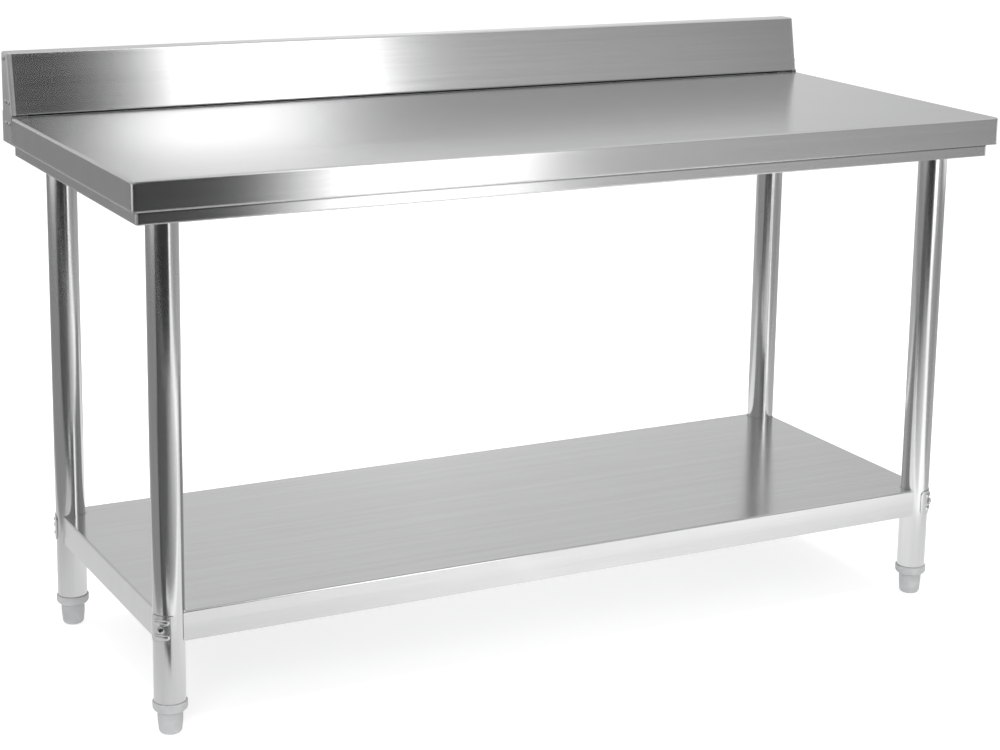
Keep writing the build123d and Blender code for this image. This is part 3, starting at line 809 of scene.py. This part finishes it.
    def build_foot(self, segments: int = 96) -> None:
        """Build the moulded foot: round above, with eight soft spanner flats below.

        Args:
            segments: Points round the foot.
        """
        rings = []
        for ring in turned(self.foot_outline(), segments):
            radius, z = ring[0].xy.length, ring[0].z
            flatten = 1 - smooth_step(z, self.flats_top - 2 * MM, self.flats_top + 3 * MM)
            shaped = []
            for p in ring:
                turn = (math.atan2(p.y, p.x) + math.pi / 8) % (math.pi / 4) - math.pi / 8
                flat = self.foot_flats / math.cos(turn)
                reach = min(radius, flat) if radius > self.foot_radius * 0.5 else radius
                wanted = radius + (reach - radius) * flatten
                shaped.append(Vector((p.x / radius * wanted, p.y / radius * wanted, z)))
            rings.append(shaped)
        points, faces = skin(rings)
        place = Matrix.Translation(self.centre)
        finish = self.finishes.made["foot_plastic"]
        piece = make_piece(f"moulded_foot_{self.corner}", points, faces, place, finish, sharp=50.0)
        self.finish_piece(piece, self.body, f"foot_{self.corner}")


@dataclass
class SplashEnd:
    """The cross-head screws at one end of the backsplash."""

    name: str
    side: float
    finishes: Finishes
    shank_radius: float = 2.5 * MM
    shank_length: float = 5.5 * MM
    turn_step: float = 0.3

    def places(self) -> list[Vector]:
        """Find each screw on the end's outer face from the loose parts of its node.

        Returns:
            The seat point of each screw.
        """
        node = FRAME["nodes"][f"splash_screws_{self.name}"]
        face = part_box(f"splash_cap_{self.name}")[1 if self.side > 0 else 0].x
        found: list[list[Vector]] = []
        for vertex in node.data.vertices:
            near = [g for g in found if (g[0].yz - vertex.co.yz).length < 4 * self.shank_radius]
            if near:
                near[0].append(vertex.co)
            else:
                found.append([vertex.co])
        seats = []
        for group in found:
            ys, zs = [p.y for p in group], [p.z for p in group]
            seats.append(Vector((face, (min(ys) + max(ys)) / 2, (min(zs) + max(zs)) / 2)))
        return sorted(seats, key=lambda p: (round(p.z, 4), round(p.y, 4)))

    def build(self) -> None:
        """Build the screws, each a head with its threaded shank."""
        head = CrossHead(radius=4.3 * MM, rim=0.9 * MM, height=2.6 * MM, recess=4.8 * MM, arm=1.4 * MM)
        segments = 72
        thread = Thread(self.shank_radius, pitch=0.8 * MM, depth=0.4 * MM)
        rings = turned([(self.shank_radius * TIP_SHARE, -self.shank_length)], segments)
        rings += thread.rings(-self.shank_length, -thread.pitch, segments, 5)
        rings += turned([(self.shank_radius, -thread.pitch / 2)], segments)
        rings += head.rings(self.shank_radius, segments, 24)
        points, faces = skin(rings)
        for number, seat in enumerate(self.places(), 1):
            outward = Matrix.Rotation(self.side * math.pi / 2, 4, "Y")
            turn = Matrix.Rotation(self.turn_step * number, 4, "X") @ outward
            name = f"end_screw_{self.name}_{number}"
            place = Matrix.Translation(seat) @ turn
            piece = make_piece(name, points, faces, place, self.finishes.made["fastener_steel"])
            # The cross recess takes a painted shade.
            paint_recess_shade(piece, head, points, self.finishes.made["recess_painted_shade"])
            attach(piece, TABLE_BODY)
            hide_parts(f"splash_screws_{self.name}")
            log.info("%s sits at %s", name, [round(c, 4) for c in seat])


# ---- Studio --------------------------------------------------------------------------------------


@dataclass(frozen=True)
class Card:
    """A flat panel out of sight that the steel reflects, glowing evenly or from one side to the other."""

    name: str
    corner: tuple[float, float, float]
    across: tuple[float, float, float]
    up: tuple[float, float, float]
    glow: float
    glow_end: float | None = None

    def build(self) -> None:
        """Make the panel from one corner and its two edges."""
        corner, across, up = Vector(self.corner), Vector(self.across), Vector(self.up)
        mesh = bpy.data.meshes.new(self.name)
        mesh.from_pydata([corner, corner + across, corner + across + up, corner + up], [], [(0, 1, 2, 3)])
        panel = bpy.data.objects.new(self.name, mesh)
        bpy.context.scene.collection.objects.link(panel)
        material = bpy.data.materials.new(self.name)
        material.use_nodes = True
        g = Graph(material.node_tree)
        glow = g.add("ShaderNodeEmission", Color=(1.0, 1.0, 1.0, 1.0), Strength=self.glow)
        if self.glow_end is not None:
            place = g.add("ShaderNodeTexCoord").outputs["Object"]
            share = g.add("ShaderNodeVectorMath", {"operation": "DOT_PRODUCT"})
            g.feed(share, 0, place)
            g.feed(share, 1, across / across.length_squared)
            start = corner.dot(across) / across.length_squared
            ramp = g.add("ShaderNodeMapRange", Value=share.outputs["Value"])
            g.feed(ramp, "From Min", start)
            g.feed(ramp, "From Max", start + 1)
            g.feed(ramp, "To Min", self.glow)
            g.feed(ramp, "To Max", self.glow_end)
            g.feed(glow, "Strength", ramp.outputs[0])
        g.add("ShaderNodeOutputMaterial", Surface=glow.outputs[0])
        mesh.materials.append(material)
        panel.visible_camera = False
        panel.visible_diffuse = False
        panel.visible_shadow = False


@dataclass(frozen=True)
class SoftLight:
    """A large rectangular lamp."""

    name: str
    centre: tuple[float, float, float]
    width: float
    height: float
    power: float
    target: tuple[float, float, float] = (0.0, 0.0, 0.4)

    def build(self) -> None:
        """Make the lamp, facing its target."""
        lamp = bpy.data.lights.new(self.name, "AREA")
        lamp.shape = "RECTANGLE"
        lamp.size, lamp.size_y = self.width, self.height
        lamp.energy = self.power
        stand = bpy.data.objects.new(self.name, lamp)
        bpy.context.scene.collection.objects.link(stand)
        stand.location = self.centre
        stand.rotation_euler = (Vector(self.target) - Vector(self.centre)).to_track_quat("-Z", "Y").to_euler()
        stand.visible_camera = False
        stand.visible_glossy = False


@dataclass
class Studio:
    """Pale floor, white surroundings, reflected panels and soft lights.

    The surroundings glow by direction: beside the table, behind it and overhead.
    """

    floor_size: float = 30.0
    floor_shade: float = 0.62
    floor_glow: float = 0.58
    beside: float = 0.38
    behind: float = 0.68
    overhead: float = 0.85

    cards: tuple[Card, ...] = (
        Card("panel_by_camera", (-4.6, -2.2, 0.02), (4.75, 0, 0), (0, 0, 0.85), 0.035),
        Card("panel_above_left", (-4.6, -2.2, 0.88), (4.45, 0, 0), (0, 0, 3.0), 0.45, 0.40),
        Card("panel_dark_edge", (-0.14, -2.2, 0.88), (0.29, 0, 0), (0, 0, 3.0), 0.035),
        Card("panel_edge", (0.15, -2.2, 0.02), (0.26, -0.2, 0), (0, 0, 1.1), 0.035, 1.2),
        Card("panel_edge_above", (0.15, -2.2, 1.14), (0.35, -0.27, 0), (0, 0, 2.7), 0.035, 0.9),
        Card("panel_strip", (0.45, -2.43, 0.12), (0.97, -0.80, 0), (0, 0, 1.0), 2.4),
        Card("panel_strip_above", (0.50, -2.47, 1.14), (1.05, -0.86, 0), (0, 0, 2.7), 2.8),
        Card("panel_right", (1.55, -3.33, 0.02), (1.15, 0, 0), (0, 0, 2.1), 0.60, 0.50),
        Card("panel_far_right", (2.7, -3.33, 0.02), (1.2, 0, 0), (0, 0, 2.1), 0.50, 0.28),
        Card("panel_end", (3.92, -3.33, 0.02), (0.9, 0, 0), (0, 0, 3.0), 0.06),
        Card("panel_right_above", (1.55, -3.33, 2.12), (3.0, 0, 0), (0, 0, 0.9), 0.30, 0.16),
        Card("floor_front_left", (-4.6, -2.19, 0.01), (3.6, 0, 0), (0, 1.49, 0), 0.05, 0.14),
        Card("floor_near_left", (-2.4, -0.72, 0.0105), (1.68, 0, 0), (0, 0.21, 0), 0.07),
        Card("floor_front", (-1.0, -2.19, 0.01), (1.6, 0, 0), (0, 1.39, 0), 0.14, 1.0),
        Card("floor_front_right", (1.15, -3.3, 0.01), (3.5, 0, 0), (0, 2.6, 0), 0.45, 0.25),
        Card("floor_left", (-1.15, -0.69, 0.01), (-3.4, 0, 0), (0, 4.0, 0), 0.34, 0.28),
        Card("floor_right", (1.15, -0.69, 0.01), (3.5, 0, 0), (0, 4.0, 0), 0.60, 0.33),
        Card("floor_under_left", (-1.14, -0.69, 0.008), (1.24, 0, 0), (0, 1.69, 0), 0.68, 1.12),
        Card("floor_under_right", (0.11, -0.69, 0.008), (1.03, 0, 0), (0, 1.69, 0), 1.12, 0.86),
        Card("far_behind_left", (-1.0, 8.6, 1.3), (5.0, 0, 0), (0, 0, 1.55), 0.05, 1.15),
        Card("far_behind_right", (4.0, 8.6, 1.3), (5.0, 0, 0), (0, 0, 1.55), 1.05, 0.50),
        Card("floor_behind", (-1.14, 1.0, 0.01), (2.28, 0, 0), (0, 6.0, 0), 0.55, 0.62),
        Card("floor_behind_left", (-4.6, 3.32, 0.01), (3.45, 0, 0), (0, 5.0, 0), 0.28, 0.30),
        Card("floor_behind_right", (1.15, 3.32, 0.01), (6.0, 0, 0), (0, 5.0, 0), 0.60, 0.60),
    )
    lamps: tuple[SoftLight, ...] = (
        SoftLight("lamp_overhead", (0.0, -0.4, 3.6), 3.6, 2.6, 120.0),
        SoftLight("lamp_front", (-2.6, -3.4, 2.6), 2.0, 2.0, 60.0),
    )

    def build(self) -> None:
        """Build the floor, the surroundings and every light."""
        self.build_floor()
        self.build_surroundings()
        for card in self.cards:
            card.build()
        for lamp in self.lamps:
            lamp.build()
        settings = bpy.context.scene.view_settings
        settings.view_transform = "Standard"
        settings.look = "None"

    def build_floor(self) -> None:
        """Make the plain floor under the feet, clear from below so the underside shows."""
        half = self.floor_size / 2
        mesh = bpy.data.meshes.new("floor")
        corners = [(-half, -half, 0), (half, -half, 0), (half, half, 0), (-half, half, 0)]
        mesh.from_pydata(corners, [], [(0, 1, 2, 3)])
        floor = bpy.data.objects.new("floor", mesh)
        bpy.context.scene.collection.objects.link(floor)
        material = bpy.data.materials.new("pale_floor")
        material.use_nodes = True
        g = Graph(material.node_tree)
        shade = (self.floor_shade,) * 3 + (1.0,)
        shader = g.add(
            "ShaderNodeBsdfPrincipled", Base_Color=shade, Roughness=0.9,
            Emission_Color=(1.0, 1.0, 1.0, 1.0), Emission_Strength=self.floor_glow,
        )
        clear = g.add("ShaderNodeBsdfTransparent")
        from_below = g.add("ShaderNodeMixShader", Fac=g.add("ShaderNodeNewGeometry").outputs["Backfacing"])
        g.feed(from_below, 1, shader.outputs["BSDF"])
        g.feed(from_below, 2, clear.outputs["BSDF"])
        g.add("ShaderNodeOutputMaterial", Surface=from_below.outputs[0])
        mesh.materials.append(material)

    def build_surroundings(self) -> None:
        """Make the surroundings: white to look at and softer in reflections."""
        world = bpy.data.worlds.new("studio")
        bpy.context.scene.world = world
        world.use_nodes = True
        g = Graph(world.node_tree)
        direction = g.add("ShaderNodeTexCoord").outputs["Generated"]
        towards = g.add("ShaderNodeSeparateXYZ", Vector=direction)
        back = g.add("ShaderNodeMapRange", Value=towards.outputs["Y"], From_Min=0.35, From_Max=0.85)
        g.feed(back, "To Min", self.beside)
        g.feed(back, "To Max", self.behind)
        lift = g.add("ShaderNodeMapRange", Value=towards.outputs["Z"], From_Min=0.3, From_Max=0.8)
        level = g.add("ShaderNodeMix", Factor=lift.outputs[0], A=back.outputs[0], B=self.overhead)
        grey = g.add("ShaderNodeBackground", Color=(1.0, 1.0, 1.0, 1.0), Strength=level.outputs[0])
        white = g.add("ShaderNodeBackground", Color=(1.0, 1.0, 1.0, 1.0), Strength=1.0)
        seen = g.add("ShaderNodeLightPath").outputs["Is Camera Ray"]
        mixed = g.add("ShaderNodeMixShader", Fac=seen)
        g.feed(mixed, 1, grey.outputs[0])
        g.feed(mixed, 2, white.outputs[0])
        g.add("ShaderNodeOutputWorld", Surface=mixed.outputs[0])


@dataclass(frozen=True)
class Viewpoint:
    """The camera: standing left of the table's front, a little above the backsplash."""

    place: tuple[float, float, float] = (-1.7176, -3.2860, 1.4303)
    heading: float = -0.4943
    tilt: float = -0.2160
    roll: float = 0.0182
    lens: float = 82.45
    shift: tuple[float, float] = (-0.0362, -0.120)

    def build(self) -> None:
        """Make the camera and set it as the scene's."""
        ahead = Vector((
            -math.sin(self.heading) * math.cos(self.tilt),
            math.cos(self.heading) * math.cos(self.tilt),
            math.sin(self.tilt),
        ))
        right = Vector((math.cos(self.heading), math.sin(self.heading), 0.0))
        right.rotate(Matrix.Rotation(-self.roll, 3, ahead))
        up = right.cross(ahead)
        data = bpy.data.cameras.new("camera")
        data.lens = self.lens
        data.sensor_width = 36.0
        data.shift_x, data.shift_y = self.shift
        camera = bpy.data.objects.new("camera", data)
        bpy.context.scene.collection.objects.link(camera)
        turn = Matrix((right, up, -ahead)).transposed().to_4x4()
        camera.matrix_world = Matrix.Translation(Vector(self.place)) @ turn
        bpy.context.scene.camera = camera


def main() -> None:
    """Build the finishes, the fittings at each corner and end, the studio and the camera."""
    logging.basicConfig(level=logging.INFO, format="%(name)s: %(message)s")
    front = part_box("worktop_pan")[0].y
    finishes = Finishes(seams=(front + SEAM_INSET,), apron_bottom=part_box("worktop_pan")[0].z)
    finishes.build()
    finishes.dress_nodes()
    for corner in CORNERS:
        CornerPost(corner, finishes).build()
    for name, side in ENDS.items():
        SplashEnd(name, side, finishes).build()
    Studio().build()
    Viewpoint().build()


if __name__ == "__main__":
    main()
